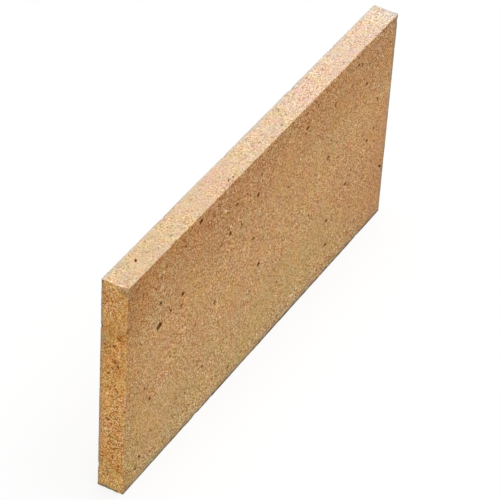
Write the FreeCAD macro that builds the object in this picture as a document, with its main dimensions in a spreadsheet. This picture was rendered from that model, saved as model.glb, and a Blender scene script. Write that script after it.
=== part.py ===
import FreeCAD, Part
import Sketcher
import os

# Refractory firebrick tile: one slab of pressed and fired fireclay, standing on a long narrow edge.
# The length lies along X, the thickness along Y and the height along Z.
# The origin is the centre of the edge that the brick stands on.

# Driving sizes in millimetres: name, value, what it is
SIZES = (
    ("brick_length", 457.2, "overall length, 18 inch nominal"),
    ("brick_height", 228.6, "overall height as it stands, 9 inch nominal"),
    ("brick_thickness", 25.4, "overall thickness, 1 inch nominal"),
    ("end_arris_radius", 1.2, "wear on the four upright arrises of the ends"),
    ("long_arris_radius", 0.8, "wear on the arrises round the top and bottom edges"),
    ("near_chip_length", 2.4, "chip at the near top corner, along the length"),
    ("near_chip_depth", 5.5, "chip at the near top corner, across the thickness"),
    ("near_chip_drop", 3.4, "chip at the near top corner, down the end"),
    ("far_spall_length", 5.2, "spall beside the far upright arris, along the big face"),
    ("far_spall_depth", 0.9, "spall beside the far upright arris, into the thickness"),
    ("far_spall_height", 9.0, "spall beside the far upright arris, from its top to its foot"),
    ("far_spall_drop", 7.5, "from the top face down to the middle of the spall"),
)

NODE_NAME = "firebrick"
STEP_FOLDER = "parts"

# Shares and distances below which an edge counts as upright, or as lying in a plane
UPRIGHT_SHARE = 0.999
PLANE_DISTANCE = 0.001

# The property that holds an ellipsoid's radius along each axis
SCOOP_RADIUS = {"x": "Radius2", "y": "Radius3", "z": "Radius1"}


def add_size_sheet(document):
    """Puts every driving size in a spreadsheet, each under its own alias."""
    sheet = document.addObject("Spreadsheet::Sheet", "Sizes")
    for row, (alias, value, meaning) in enumerate(SIZES, start=1):
        sheet.set(f"A{row}", meaning)
        sheet.set(f"B{row}", str(value))
        sheet.setAlias(f"B{row}", alias)
    document.recompute()
    return sheet


def attach_to_plan(feature, body):
    """Seats a sketch or a primitive on the body's own horizontal plane."""
    plan = next(item for item in body.Origin.OriginFeatures if item.Role == "XY_Plane")
    feature.AttachmentSupport = (plan, [""])
    feature.MapMode = "FlatFace"


def bind_side(sketch, kind, side, alias, sheet):
    """Dimensions one side of a sketch and binds it to its cell of the sheet."""
    constraint = Sketcher.Constraint(kind, side, 1, side, 2, getattr(sheet, alias))
    index = sketch.addConstraint(constraint)
    sketch.renameConstraint(index, alias)
    sketch.setExpression(f"Constraints.{alias}", f"Sizes.{alias}")


def add_plan_outline(body, sheet):
    """Sketches the brick as seen from above: a rectangle centred on the origin."""
    sketch = body.newObject("Sketcher::SketchObject", "plan_outline")
    attach_to_plan(sketch, body)
    half_length = sheet.brick_length / 2
    half_thickness = sheet.brick_thickness / 2
    corners = [
        FreeCAD.Vector(x_side * half_length, y_side * half_thickness, 0)
        for x_side, y_side in ((-1, -1), (1, -1), (1, 1), (-1, 1))
    ]
    front, far_end, back, near_end = [
        sketch.addGeometry(Part.LineSegment(start, end), False)
        for start, end in zip(corners, corners[1:] + corners[:1])
    ]
    for side, following in ((front, far_end), (far_end, back), (back, near_end), (near_end, front)):
        sketch.addConstraint(Sketcher.Constraint("Coincident", side, 2, following, 1))
    for side in (front, back):
        sketch.addConstraint(Sketcher.Constraint("Horizontal", side))
    for side in (far_end, near_end):
        sketch.addConstraint(Sketcher.Constraint("Vertical", side))
    # Opposite corners are symmetric about the sketch's own origin
    sketch.addConstraint(Sketcher.Constraint("Symmetric", front, 1, back, 1, -1, 1))
    bind_side(sketch, "DistanceX", front, "brick_length", sheet)
    bind_side(sketch, "DistanceY", far_end, "brick_thickness", sheet)
    return sketch


def add_slab(body, outline):
    """Pads the plan outline up to the brick's height."""
    slab = body.newObject("PartDesign::Pad", "slab")
    slab.Profile = outline
    slab.setExpression("Length", "Sizes.brick_height")
    return slab


def upright_edges(shape):
    """Lists the straight edges that run along Z."""
    names = []
    for number, edge in enumerate(shape.Edges, start=1):
        direction = edge.tangentAt(edge.FirstParameter)
        if abs(direction.z) > UPRIGHT_SHARE:
            names.append(f"Edge{number}")
    return names


def rim_edges(shape):
    """Lists the edges that lie in the plane of the bottom face or of the top face."""
    names = []
    for number, edge in enumerate(shape.Edges, start=1):
        reach = edge.BoundBox
        at_bottom = reach.ZMax < shape.BoundBox.ZMin + PLANE_DISTANCE
        at_top = reach.ZMin > shape.BoundBox.ZMax - PLANE_DISTANCE
        if at_bottom or at_top:
            names.append(f"Edge{number}")
    return names


def add_rounding(body, base, name, edge_names, radius_alias):
    """Rounds the named edges of a feature by a radius from the sheet."""
    rounding = body.newObject("PartDesign::Fillet", name)
    rounding.Base = (base, edge_names)
    rounding.setExpression("Radius", f"Sizes.{radius_alias}")
    return rounding


def add_scoop(body, name, radii, centre):
    """Takes an ellipsoid out of the body.

    The radii and the centre are expressions of the sheet's sizes, one each along x, y and z.
    """
    scoop = body.newObject("PartDesign::SubtractiveEllipsoid", name)
    attach_to_plan(scoop, body)
    for axis, radius, place in zip("xyz", radii, centre):
        scoop.setExpression(SCOOP_RADIUS[axis], radius)
        scoop.setExpression(f"AttachmentOffset.Base.{axis}", place)
    return scoop


def add_near_chip(body):
    """Scoops a shell-shaped chip out of the top corner where the big face meets the near end.

    The ellipsoid's centre is on the end's plane, and half a radius outside the big face and the top
    face. So it meets the long arris at sqrt(1/2) of its radius along x, and the other two arrises at
    (sqrt(3) - 1) / 2 of its radii along y and z.
    """
    across = "2 * Sizes.near_chip_depth / (sqrt(3) - 1)"
    down = "2 * Sizes.near_chip_drop / (sqrt(3) - 1)"
    radii = ("sqrt(2) * Sizes.near_chip_length", across, down)
    centre = (
        "-Sizes.brick_length / 2",
        f"-Sizes.brick_thickness / 2 - {across} / 2",
        f"Sizes.brick_height + {down} / 2",
    )
    return add_scoop(body, "near_chip", radii, centre)


def add_far_spall(body):
    """Scoops a shallow spall out of the big face, against the far upright arris.

    The ellipsoid's centre is on the far end's plane and half a radius outside the big face. So the
    spall is half a radius deep, and its outline on the face is sqrt(3) / 2 of the other two radii.
    """
    radii = (
        "2 * Sizes.far_spall_length / sqrt(3)",
        "2 * Sizes.far_spall_depth",
        "Sizes.far_spall_height / sqrt(3)",
    )
    centre = (
        "Sizes.brick_length / 2",
        "-Sizes.brick_thickness / 2 - Sizes.far_spall_depth",
        "Sizes.brick_height - Sizes.far_spall_drop",
    )
    return add_scoop(body, "far_spall", radii, centre)


def build_brick(document, sheet):
    """Models the brick as one body: slab, worn arrises, then the corner chip and the spall."""
    body = document.addObject("PartDesign::Body", NODE_NAME)
    body.Label = NODE_NAME
    body.Placement = FreeCAD.Placement()
    slab = add_slab(body, add_plan_outline(body, sheet))
    document.recompute()
    ends = add_rounding(body, slab, "end_arrises", upright_edges(slab.Shape), "end_arris_radius")
    document.recompute()
    add_rounding(body, ends, "long_arrises", rim_edges(ends.Shape), "long_arris_radius")
    document.recompute()
    for add_damage in (add_near_chip, add_far_spall):
        whole = body.Shape.Volume
        damage = add_damage(body)
        document.recompute()
        if not body.Shape.Volume < whole:
            raise RuntimeError(f"{damage.Name} took nothing off the brick")
    return body


def check_document(document, body):
    """Stops with a plain message where a feature failed or the solid is unsound."""
    for item in document.Objects:
        if "Invalid" in item.State or "Error" in item.State:
            raise RuntimeError(f"{item.Name} failed: {item.State}")
    shape = body.Shape
    if shape.isNull() or not shape.isValid() or len(shape.Solids) != 1:
        raise RuntimeError(f"{body.Label} isn't one valid solid")


def main():
    """Builds the document and writes the brick to its STEP file."""
    document = FreeCAD.newDocument("firebrick_tile")
    sheet = add_size_sheet(document)
    body = build_brick(document, sheet)
    check_document(document, body)
    os.makedirs(STEP_FOLDER, exist_ok=True)
    body.Shape.exportStep(os.path.join(STEP_FOLDER, f"{body.Label}.step"))
    box = body.Shape.optimalBoundingBox(True, False)
    print(f"{body.Label}: {box.XLength:.2f} x {box.YLength:.2f} x {box.ZLength:.2f} mm, "
          f"{body.Shape.Volume / 1000:.1f} cm3, {len(body.Shape.Faces)} faces")


main()
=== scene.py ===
"""Dresses the refractory firebrick tile: its worn relief, its fired clay and the studio round it.

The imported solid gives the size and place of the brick. A relief mesh of the same slab, with worn
arrises, chips and pits, stands for it. All lengths here are metres unless a name ends in _mm.
"""
import logging
import math
from dataclasses import dataclass
from enum import Enum
from itertools import product
from random import Random

import bmesh
import bpy
import numpy as np
from mathutils import Matrix, Vector, noise


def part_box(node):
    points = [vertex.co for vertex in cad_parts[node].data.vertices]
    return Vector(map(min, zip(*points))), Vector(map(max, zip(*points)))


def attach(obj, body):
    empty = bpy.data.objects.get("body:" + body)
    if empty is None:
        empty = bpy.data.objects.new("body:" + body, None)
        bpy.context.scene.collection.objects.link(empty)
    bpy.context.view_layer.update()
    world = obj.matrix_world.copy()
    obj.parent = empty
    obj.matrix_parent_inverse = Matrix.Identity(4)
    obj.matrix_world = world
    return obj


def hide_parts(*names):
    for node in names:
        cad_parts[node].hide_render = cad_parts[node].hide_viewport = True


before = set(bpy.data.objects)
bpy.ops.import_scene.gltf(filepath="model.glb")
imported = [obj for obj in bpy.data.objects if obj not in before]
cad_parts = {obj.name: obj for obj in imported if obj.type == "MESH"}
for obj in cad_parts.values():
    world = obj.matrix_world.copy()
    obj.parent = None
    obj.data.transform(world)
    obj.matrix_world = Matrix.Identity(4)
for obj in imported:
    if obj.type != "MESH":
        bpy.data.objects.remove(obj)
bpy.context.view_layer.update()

BRICK_NODE = "firebrick"
CLAY_SLOT = "fired_fireclay"
ROOT_BODY = "root"
MM = 0.001

# The places on the front were read from a flattened picture that draws its middle a little too high,
# most of all towards the far end. So they are lowered, by up to 2.4 mm.
FRONT_LOWERING = 8.0 * MM
NEAR_LOWERING = 0.45
FAR_LOWERING = 0.75

# How far off a side's plane a point of the flat slab may lie by rounding alone
ON_SIDE = 1e-6

# At how many of its radii a mark's field becomes 0
FIELD_REACH = 1.4

# At which field a pit starts, how much further on it is deepest, and how much its rim is frayed
BOWL_START = 0.3
BOWL_WALL = 0.5
RIM_SWING = 0.35

# How dark a pit is painted without any depth, and the painted shade that each millimetre of depth adds
PIT_DARKNESS = 0.2
END_PIT_DARKNESS = 0.42
SHADE_PER_MM_DEPTH = 0.8

# The size of the lumps on the rim of a pit and on the skin of a chip, and how rough these skins are
RIM_LUMP = 1.4 * MM
SKIN_LUMP = 1.3 * MM
DAMAGE_ROUGHNESS = 0.25
CHIP_ROUGHNESS = 0.3

# How much faster a round stain fades into the brick than along its side
STAIN_DEPTH_FADE = 3

Socket = bpy.types.NodeSocket
Given = Socket | float | tuple[float, ...]
Colour = tuple[float, float, float, float]

log = logging.getLogger("firebrick")


def srgb(red: int, green: int, blue: int) -> Colour:
    """Turns a colour written as three bytes into the linear colour that a shader takes.

    Args:
        red: Red from 0 to 255.
        green: Green from 0 to 255.
        blue: Blue from 0 to 255.

    Returns:
        The linear red, green and blue, and an alpha of 1.
    """
    shares = (red / 255, green / 255, blue / 255)
    linear = [s / 12.92 if s <= 0.04045 else ((s + 0.055) / 1.055) ** 2.4 for s in shares]
    return (linear[0], linear[1], linear[2], 1.0)


class Side(Enum):
    """The six sides of the brick, each as its normal's axis and sign, and its own two directions."""

    FRONT = (1, -1, 0, 2)
    BACK = (1, 1, 0, 2)
    TOP = (2, 1, 0, 1)
    BOTTOM = (2, -1, 0, 1)
    NEAR_END = (0, -1, 1, 2)
    FAR_END = (0, 1, 1, 2)

    @property
    def across(self) -> tuple[int, int]:
        """The axes that places on the side are measured along."""
        return self.value[2], self.value[3]

    def gap(self, points: np.ndarray, half: Vector) -> np.ndarray:
        """Gives how far points about the brick's centre lie inside the side's plane."""
        axis, sign = self.value[:2]
        return half[axis] - sign * points[:, axis]


@dataclass(frozen=True)
class Place:
    """A place on one side, in millimetres.

    It is measured along from the near end, or from the front face on the ends. It is measured down
    from the top face, or in from the front face on the top and bottom.
    """

    side: Side
    along_mm: float
    down_mm: float

    def offsets(self, points: np.ndarray, half: Vector) -> tuple[np.ndarray, np.ndarray]:
        """Gives how far points lie from the place, along the side's two axes.

        Args:
            points: Points about the brick's centre, one row each.
            half: Half of the brick's length, thickness and height.

        Returns:
            The distances along the first axis and along the second.
        """
        along_axis, down_axis = self.side.across
        along = self.along_mm * MM - half[along_axis]
        down = self.down_mm * MM - half[down_axis]
        if self.side is Side.FRONT:
            run_share = self.along_mm * MM / (2 * half[along_axis])
            down_share = self.down_mm * MM / (2 * half[down_axis])
            lowering = NEAR_LOWERING + FAR_LOWERING * run_share
            down += FRONT_LOWERING * down_share * (1 - down_share) * lowering
        if down_axis == 2:
            down = -down
        return points[:, along_axis] - along, points[:, down_axis] - down


@dataclass(frozen=True)
class Mark(Place):
    """A pit or a pale grog grain, an ellipse turned by some degrees."""

    wide_mm: float
    tall_mm: float
    turn_degrees: float = 0.0
    depth_mm: float = 0.8

    @property
    def darkness(self) -> float:
        """How dark a pit is painted, from 0 to 1: its dark clay and a painted shade that grows with its
        depth.
        """
        least = END_PIT_DARKNESS if self.side is Side.NEAR_END else PIT_DARKNESS
        return min(1.0, least + SHADE_PER_MM_DEPTH * self.depth_mm)

    def reached(self, points: np.ndarray, half: Vector, margin: float) -> np.ndarray:
        """Finds the points of the mark's side that lie within its reach.

        Args:
            points: Points about the brick's centre, one row each.
            half: Half of the brick's sizes.
            margin: How far past the mark's own reach the search goes.

        Returns:
            The rows of the points within reach.
        """
        reach = FIELD_REACH / 2 * max(self.wide_mm, self.tall_mm) * MM + margin
        on_side = np.abs(self.side.gap(points, half)) < ON_SIDE
        near = np.hypot(*self.offsets(points, half)) < reach
        return np.nonzero(on_side & near)[0]

    def field(self, points: np.ndarray, half: Vector) -> np.ndarray:
        """Gives each point a value that falls from the mark's middle outwards.

        Args:
            points: Points of the mark's side, about the brick's centre.
            half: Half of the brick's sizes.

        Returns:
            For each point a value of 1 in the middle, 0.4 at the rim and 0 outside.
        """
        turn = math.radians(self.turn_degrees)
        right, up = self.offsets(points, half)
        wide = (right * math.cos(turn) + up * math.sin(turn)) / (self.wide_mm * MM / 2)
        tall = (-right * math.sin(turn) + up * math.cos(turn)) / (self.tall_mm * MM / 2)
        return np.clip(FIELD_REACH - np.hypot(wide, tall), 0, 1)

    def bowl(self, points: np.ndarray, field: np.ndarray) -> np.ndarray:
        """Gives the depth of a pit at each point, with a ragged rim.

        Args:
            points: Points of the mark's side, about the brick's centre.
            field: The mark's field at these points.

        Returns:
            The depths.
        """
        ragged = np.array([noise.noise(Vector(point) / RIM_LUMP) for point in points])
        share = np.clip((field + RIM_SWING * ragged * (field > 0) - BOWL_START) / BOWL_WALL, 0, 1)
        return share * share * (3 - 2 * share) * self.depth_mm * MM


@dataclass(frozen=True)
class GreyPatch(Place):
    """A soft round grey patch on one side."""

    reach_mm: float
    strength: float

    def film(self, points: np.ndarray, half: Vector) -> np.ndarray:
        """Gives the share of grey film at points about the brick's centre, below 0 outside the patch."""
        away = np.hypot(*self.offsets(points, half))
        distance = away + STAIN_DEPTH_FADE * self.side.gap(points, half)
        return self.strength * (1 - distance / (self.reach_mm * MM))


@dataclass(frozen=True)
class ArrisFilmAndShade:
    """A grey film along the arris of two sides, fading into both of them. Along the foot and on the far
    upright arris of the front it is painted shade.
    """

    first: Side
    second: Side
    reach_mm: float
    strength: float

    def film(self, points: np.ndarray, half: Vector) -> np.ndarray:
        """Gives the share of the film at points about the brick's centre, below 0 outside it."""
        distance = self.first.gap(points, half) + self.second.gap(points, half)
        return self.strength * (1 - distance / (self.reach_mm * MM))


@dataclass(frozen=True)
class Chip:
    """A shell-shaped chip out of an arris or a corner, as a part of an ellipsoid.

    The part of the skin inside the ellipsoid is pushed along the push direction until it leaves it.
    The skin laid bare keeps the clay's colour at 0, is pale and fresh at 1, and at -1 is grey and dark, a
    painted shade in the hollow.
    """

    centre: Vector
    radii: Vector
    push: Vector
    roughness: float
    skin: float = 0.0

    def scaled(self, points: np.ndarray) -> np.ndarray:
        """Gives points in a scale in which the ellipsoid is a ball of radius 1 about the origin."""
        return (points - np.array(self.centre)) / np.array(self.radii)

    def strike(self, points: np.ndarray) -> np.ndarray:
        """Pushes the points inside the ellipsoid out of it, into the brick.

        Args:
            points: Points about the brick's centre, changed in place.

        Returns:
            The rows of the points that were moved.
        """
        push = np.array(self.push)
        scaled = self.scaled(points)
        rows = np.nonzero((scaled ** 2).sum(axis=1) < 1)[0]
        step = push / np.array(self.radii)
        start = scaled[rows]
        square = (step ** 2).sum()
        linear = (start * step).sum(axis=1)
        rest = (start ** 2).sum(axis=1) - 1
        travel = (-linear + np.sqrt(linear ** 2 - square * rest)) / square
        for row, distance in zip(rows, travel):
            ragged = noise.noise(Vector(points[row]) / SKIN_LUMP)
            points[row] += push * distance * (1 + self.roughness * ragged)
        return rows


@dataclass(frozen=True)
class CornerChip:
    """The sizes of the chip at the near top corner of the front face, as the solid has them."""

    length: float = 2.4 * MM
    depth: float = 5.5 * MM
    drop: float = 3.4 * MM
    push: Vector = Vector((0.2, 0.6, -0.8))
    skin: float = 0.7

    def shape(self, half: Vector) -> Chip:
        """Places the chip's ellipsoid, half a radius outside the front and the top.

        Args:
            half: Half of the brick's sizes.

        Returns:
            The chip about the brick's centre.
        """
        into = 2 * self.depth / (math.sqrt(3) - 1)
        down = 2 * self.drop / (math.sqrt(3) - 1)
        radii = Vector((math.sqrt(2) * self.length, into, down))
        corner = Vector((-half.x, -half.y, half.z))
        centre = corner + Vector((0, -into / 2, down / 2))
        return Chip(centre, radii, self.push.normalized(), DAMAGE_ROUGHNESS, self.skin)


@dataclass(frozen=True)
class FaceSpall:
    """The sizes of the spall beside the far arris of the front face, as the solid has them."""

    length: float = 5.2 * MM
    depth: float = 0.9 * MM
    height: float = 9.0 * MM
    drop: float = 7.5 * MM
    # Grey and dark: a painted shade in the spall
    skin: float = -0.7

    def shape(self, half: Vector) -> Chip:
        """Places the spall's ellipsoid, half a radius outside the front.

        Args:
            half: Half of the brick's sizes.

        Returns:
            The spall about the brick's centre.
        """
        radii = Vector((2 * self.length, 2 * math.sqrt(3) * self.depth, self.height)) / math.sqrt(3)
        centre = Vector((half.x, -half.y - self.depth, half.z - self.drop))
        return Chip(centre, radii, Vector((0, 1, 0)), DAMAGE_ROUGHNESS, self.skin)


@dataclass(frozen=True)
class ArrisChip:
    """A chip on an arris that runs along one axis, on one side of each of the other two.

    The share is its place along the arris, from 0 at the axis's lower end to 1. Its radius across
    the arris is given, and it is some times longer along the arris.
    """

    run_axis: int
    first_sign: int
    second_sign: int
    share: float
    radius_mm: float
    stretch: float

    def shape(self, half: Vector) -> Chip:
        """Places the chip's ellipsoid, half a radius outside the arris.

        Args:
            half: Half of the brick's sizes.

        Returns:
            The chip about the brick's centre.
        """
        first_axis, second_axis = [axis for axis in range(3) if axis != self.run_axis]
        outward = Vector((0, 0, 0))
        outward[first_axis] = self.first_sign
        outward[second_axis] = self.second_sign
        place = Vector([outward[axis] * half[axis] for axis in range(3)])
        place[self.run_axis] = (2 * self.share - 1) * half[self.run_axis]
        radius = self.radius_mm * MM
        radii = Vector((radius, radius, radius))
        radii[self.run_axis] = radius * self.stretch
        outward.normalize()
        return Chip(place + outward * radius * 0.5, radii, -outward, CHIP_ROUGHNESS)


def marks_on(side: Side, *rows: tuple[float, ...]) -> tuple[Mark, ...]:
    """Makes the marks of one side, each from a row with the rest of a mark's values in their order."""
    return tuple(Mark(side, *row) for row in rows)


# Every mark that could be read off the photo: its place along and down its side, how wide and
# how tall it is, its turn in degrees and its depth, in millimetres
FRONT_PITS = marks_on(
    Side.FRONT,
    (52.9, 74.1, 6.0, 3.2, -45, 1.5), (49.9, 75.6, 6.8, 5.2, -45, 0.9), (52.5, 51, 3.4, 3.1, -20, 1.0),
    (69, 71, 3.6, 2.6, -30, 1.0), (88, 66.5, 4.2, 3.4, 0, 1.1), (86.5, 78.5, 3.6, 2.9, 0, 0.8),
    (113, 7, 4.9, 4.6, 0, 1.0), (164, 54, 3.4, 4.6, 35, 1.2), (173, 29.5, 4.4, 3.1, 0, 0.9),
    (190.5, 29.5, 3.1, 2.6, 0, 0.6), (210, 43.5, 4.6, 3.9, 40, 1.0), (183, 57, 2.4, 3.9, 30, 0.8),
    (149.5, 58, 3.6, 2.3, -15, 0.7), (206, 88.5, 4.9, 2.6, 0, 0.9), (143, 115, 3.6, 3.0, 0, 1.0),
    (218, 125.5, 4.4, 3.6, -25, 1.0), (71, 123, 2.4, 3.8, 20, 0.8), (111.5, 118.5, 2.4, 3.2, 20, 0.7),
    (40, 147, 3.4, 3.4, 0, 1.0), (30.5, 129, 2.3, 3.8, 20, 0.7), (127, 177, 2.4, 3.8, 15, 0.9),
    (120, 165, 2.6, 2.3, 0, 0.6), (84, 182, 3.4, 1.9, -35, 0.7), (25.5, 203, 2.8, 3.8, 25, 0.9),
    (20, 213, 3.4, 2.6, -20, 0.9), (173, 213.5, 3.2, 3.4, 0, 0.8), (1.5, 45, 3.1, 4.7, 0, 0.5),
    (294, 25.5, 6.4, 3.0, -10, 0.9), (291, 30, 3.2, 3.0, 0, 0.6), (298.5, 31.5, 3.0, 2.2, -20, 0.5),
    (307.5, 6.5, 3.0, 2.6, 0, 0.7), (311, 12, 2.4, 3.4, 20, 0.8), (339, 86.5, 4.4, 4.0, 0, 1.4),
    (341.5, 91, 2.0, 4.0, 30, 0.3), (344.5, 31.5, 3.6, 4.8, 0, 0.6), (265, 71, 4.4, 1.9, -40, 0.8),
    (385, 13.5, 3.4, 2.8, -20, 0.9), (391.5, 18, 3.2, 2.4, -30, 0.7), (405.5, 45, 3.6, 3.0, -30, 1.0),
    (430.5, 77.5, 2.8, 3.9, 15, 1.0), (416, 116, 4.0, 2.8, 0, 1.0), (428.5, 109, 2.6, 3.6, 25, 0.8),
    (378, 142, 4.4, 3.0, -25, 0.9), (387, 131, 3.1, 2.6, 0, 0.7), (309, 132.5, 2.2, 4.2, 35, 0.7),
    (345, 163, 5.0, 2.8, -15, 0.9), (347, 193.5, 5.6, 2.8, -25, 0.9), (449.5, 168, 8.0, 2.4, -38, 1.1),
)

FRONT_SPOTS = marks_on(
    Side.FRONT,
    (17.5, 8, 2.4, 4.4, 10, 0.45), (7, 44, 3.5, 2.5, 0, 0.3), (24.5, 22.5, 2.4, 3.6, 20, 0.5),
    (66, 22, 2.6, 3.0, 0, 0.2), (52, 24.5, 3.4, 2.0, 0, 0.2), (89, 16.5, 3.0, 2.6, 0, 0.4),
    (60.5, 40, 3.0, 2.0, -20, 0.2), (79, 57, 2.4, 1.8, -20, 0.3), (85, 49, 3.0, 1.6, -30, 0.3),
    (34, 78.5, 2.4, 3.0, 0, 0.2), (126, 4.5, 3.4, 2.2, -40, 0.5), (140, 9, 3.6, 1.8, -45, 0.25),
    (174, 5.5, 4.0, 2.6, -20, 0.4), (176.5, 14, 3.0, 2.0, 0, 0.2), (214, 24, 4.6, 2.6, 0, 0.4),
    (217, 33, 2.8, 2.0, -40, 0.4), (226, 35.5, 2.6, 1.8, -30, 0.3), (216, 55, 2.4, 2.4, 0, 0.3),
    (181, 69.5, 3.0, 3.0, 0, 0.3), (118, 63.5, 2.8, 1.6, -40, 0.4), (161, 48.5, 2.4, 3.6, 25, 0.5),
    (158, 51, 2.0, 2.4, 0, 0.4), (262, 11.5, 4.4, 2.4, -15, 0.4), (273, 10, 3.0, 2.4, 0, 0.4),
    (282, 11.5, 2.4, 2.4, 0, 0.3), (292, 9, 3.4, 2.2, -20, 0.3), (264, 2.5, 3.0, 1.8, -20, 0.4),
    (278, 16.5, 2.8, 2.0, 0, 0.25), (315, 47, 2.8, 1.8, -30, 0.35), (326, 49, 3.0, 1.8, -30, 0.3),
    (319, 92, 2.0, 2.0, 0, 0.3), (291, 51.5, 3.0, 1.8, -30, 0.3), (363, 6, 3.6, 1.8, -30, 0.4),
    (383, 5, 3.0, 2.0, -30, 0.5), (375, 29.5, 5.0, 2.6, 5, 0.45), (365, 29.5, 2.4, 1.8, 0, 0.35),
    (406.5, 24.5, 3.4, 1.8, -25, 0.4), (412.5, 32, 3.2, 2.6, 0, 0.3), (408, 7, 2.4, 2.0, 0, 0.4),
    (427, 9, 3.4, 1.8, -40, 0.35), (395, 50, 6.5, 4.5, 0, 0.1), (386, 59, 3.0, 2.6, 0, 0.4),
    (376, 58.5, 2.8, 1.8, -40, 0.35), (418, 50, 2.0, 3.0, 20, 0.3), (405, 103.5, 3.6, 2.6, -30, 0.35),
    (358, 98, 5.0, 3.0, -30, 0.3), (36.5, 130, 1.9, 2.8, 20, 0.5), (24.5, 129, 2.0, 2.0, 0, 0.25),
    (50, 119.5, 1.9, 2.8, 20, 0.3), (51.5, 125.5, 1.9, 2.6, 20, 0.3), (15, 148, 1.9, 2.8, 20, 0.3),
    (11, 146, 1.8, 2.6, 20, 0.25), (43.5, 187, 3.4, 1.8, -50, 0.35), (13.5, 187.5, 2.4, 1.8, -40, 0.3),
    (98, 185.5, 2.4, 2.4, 0, 0.3), (106, 187, 2.4, 3.2, 20, 0.45), (65.5, 214.5, 3.0, 4.0, 0, 0.4),
    (42, 210, 2.8, 2.0, -30, 0.35), (7.5, 210.5, 3.0, 1.8, -35, 0.3), (111, 160, 1.7, 6.0, 15, 0.35),
    (118, 169, 2.0, 2.6, 20, 0.4), (145, 174.5, 2.4, 2.0, -30, 0.45), (159, 177.5, 3.6, 1.8, -20, 0.25),
    (209, 207, 2.8, 3.4, 0, 0.35), (215.5, 214.5, 3.6, 2.0, -45, 0.35), (193, 134, 1.8, 3.0, 15, 0.3),
    (325, 127.5, 3.0, 3.2, 0, 0.4), (246, 129.5, 2.4, 2.6, 0, 0.3), (260, 143.5, 3.4, 1.8, -45, 0.35),
    (243, 157.5, 3.0, 2.6, 0, 0.35), (255.5, 173, 3.8, 1.9, -40, 0.45), (254, 206.5, 3.4, 2.6, -20, 0.4),
    (260, 218, 3.2, 2.4, -45, 0.5), (340, 163.5, 3.6, 1.8, -35, 0.5), (333.5, 214.5, 2.6, 2.0, -40, 0.45),
    (364, 123, 3.0, 1.8, -20, 0.35), (374.5, 132, 2.8, 2.0, -30, 0.45), (429, 148, 2.4, 2.8, 0, 0.45),
    (431, 176.5, 2.4, 3.2, 20, 0.4), (357, 170.5, 4.6, 1.8, -35, 0.4), (391, 178.5, 5.0, 1.8, -40, 0.4),
    (407.5, 151.5, 3.6, 1.8, -35, 0.35), (372.5, 164.5, 2.8, 1.8, -30, 0.35),
    (437, 203.5, 5.0, 3.4, 0, 0.1),
)

TOP_PITS = marks_on(
    Side.TOP,
    (34, 14.4, 3.8, 2.0, 30, 1.0), (26, 9.9, 3.2, 1.8, -45, 0.12), (8, 5.9, 2.6, 2.2, 20, 0.15),
    (15, 4.9, 2.6, 1.8, 0, 0.02), (46, 5.7, 2.0, 1.6, 0, 0.2), (57, 7.4, 2.2, 1.6, 30, 0.2),
    (76.7, 7.4, 3.4, 3.2, 0, 0.1), (66.3, 18.9, 2.0, 1.8, 0, 0.12), (90.6, 3.4, 2.2, 1.8, 0, 0.1),
    (124, 17.4, 3.4, 1.6, 30, 0.15), (150, 10.9, 2.2, 2.8, 45, 0.1), (146, 20.9, 2.2, 1.8, 0, 0.12),
    (168.5, 12.4, 2.2, 1.8, 0, 0.12), (164, 4.7, 3.4, 1.6, 25, 0.7), (167, 4.2, 2.4, 1.6, 25, 0.3),
    (170, 3.9, 2.8, 1.6, 25, 0.5), (206.2, 3.4, 2.2, 1.8, 20, 0.12), (235.6, 3.6, 3.6, 2.2, -45, 0.2),
    (254.7, 5.4, 3.2, 2.6, 20, 0.4), (269, 9.4, 2.8, 1.9, 0, 0.2), (272.4, 19.4, 3.2, 1.6, 45, 0.1),
    (325, 21.4, 2.8, 2.2, 0, 0.25), (344, 14.7, 4.0, 2.0, 15, 0.1), (363.5, 5.4, 2.6, 2.6, 0, 0.02),
    (385.7, 9.4, 2.0, 1.8, 0, 0.15), (389, 11.9, 2.2, 2.0, 0, 0.05), (412.7, 19.9, 2.4, 2.2, 0, 0.15),
    (403.4, 14.7, 1.9, 2.2, 0, 0.1), (422.4, 12.9, 2.0, 1.8, 0, 0.12), (442, 3.4, 2.2, 2.0, 0, 0.05),
    (453.8, 13.2, 2.2, 2.2, 0, 0.3),
)

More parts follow.
